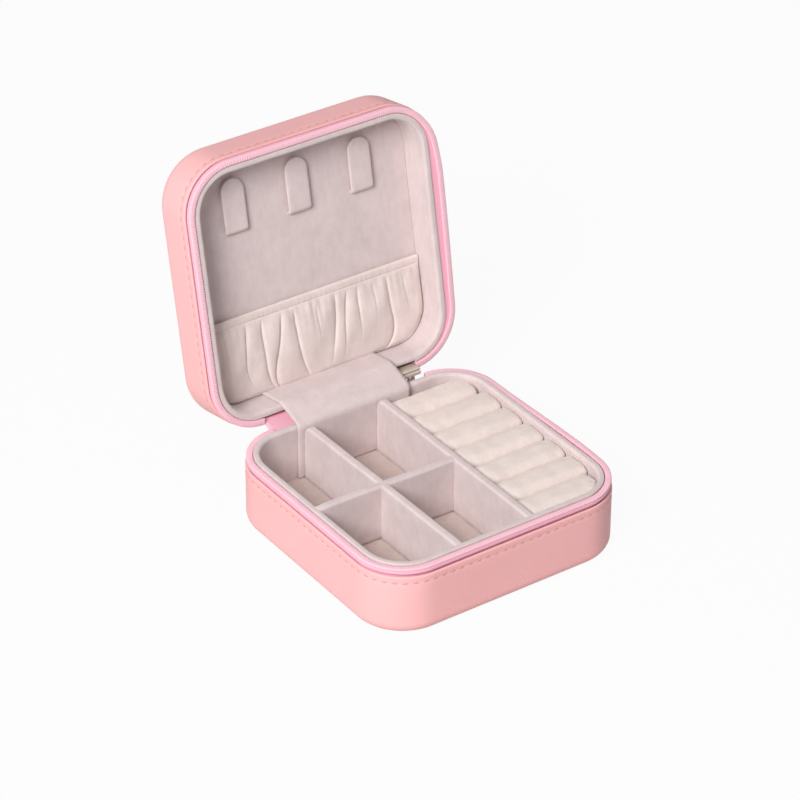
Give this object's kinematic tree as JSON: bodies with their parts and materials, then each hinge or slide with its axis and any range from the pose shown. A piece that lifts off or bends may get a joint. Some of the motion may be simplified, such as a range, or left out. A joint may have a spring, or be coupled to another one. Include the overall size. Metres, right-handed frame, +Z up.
{
  "type": "jewellery case",
  "caption": "Square zip-round leather jewellery case, lid hinged open, with velvet compartments, ring rolls, necklace hooks and a gathered lid pocket.",
  "frame": {"origin": "middle of the flat underside of the base", "axes": "+Z up, +Y to the hinge at the back, +X to the ring rolls; the front is -Y"},
  "size_m": [0.1, 0.1388, 0.1208],
  "materials": {
    "leather": "fine cross grain, satin",
    "velvet": "short velvet pile",
    "roll_velvet": "short velvet pile",
    "pocket_cloth": "soft matt cloth",
    "greyboard": "raw board",
    "foam": "open foam",
    "zip_tape": "woven tape",
    "zip_coil": "satin nylon",
    "zip_metal": "dull plated metal",
    "elastic": "woven elastic"
  },
  "bodies": {
    "base": {"base_cover": "leather", "base_board": "greyboard", "base_floor_foam": "foam", "base_floor_card": "velvet", "base_lining": "velvet", "base_zip_tape": "zip_tape", "base_zip_coil": "zip_coil", "ring_divider": "velvet", "long_divider": "velvet", "cross_divider": "velvet", "ring_roll_1": "roll_velvet", "ring_roll_2": "roll_velvet", "ring_roll_3": "roll_velvet", "ring_roll_4": "roll_velvet", "ring_roll_5": "roll_velvet", "ring_roll_6": "roll_velvet", "ring_roll_7": "roll_velvet", "hinge_spine": "leather", "hinge_flap": "velvet"},
    "lid": {"lid_cover": "leather", "lid_foam": "foam", "lid_board": "greyboard", "lid_panel": "velvet", "lid_lining": "velvet", "lid_zip_tape": "zip_tape", "lid_zip_coil": "zip_coil", "necklace_hook_1": "velvet", "necklace_hook_2": "velvet", "necklace_hook_3": "velvet", "pocket": "pocket_cloth", "pocket_hem": "pocket_cloth", "pocket_elastic": "elastic", "zip_slider": "zip_metal", "zip_end_tape": "zip_tape"},
    "pull": {"zip_pull": "zip_metal"}
  },
  "joints": [
    {"name": "lid_hinge", "type": "hinge", "parent": "base", "child": "lid", "pos_m": [0, 0.0499, 0.0246], "axis": [1, 0, 0], "range_deg": [0, 100.8], "deforming": ["hinge_spine", "hinge_flap"]},
    {"name": "zip_pull_swing", "type": "hinge", "parent": "lid", "child": "pull", "pos_m": [0.0278, 0.05157, 0.02377], "axis": [0, 1, 0], "range_deg": [-70, 70]}
  ]
}
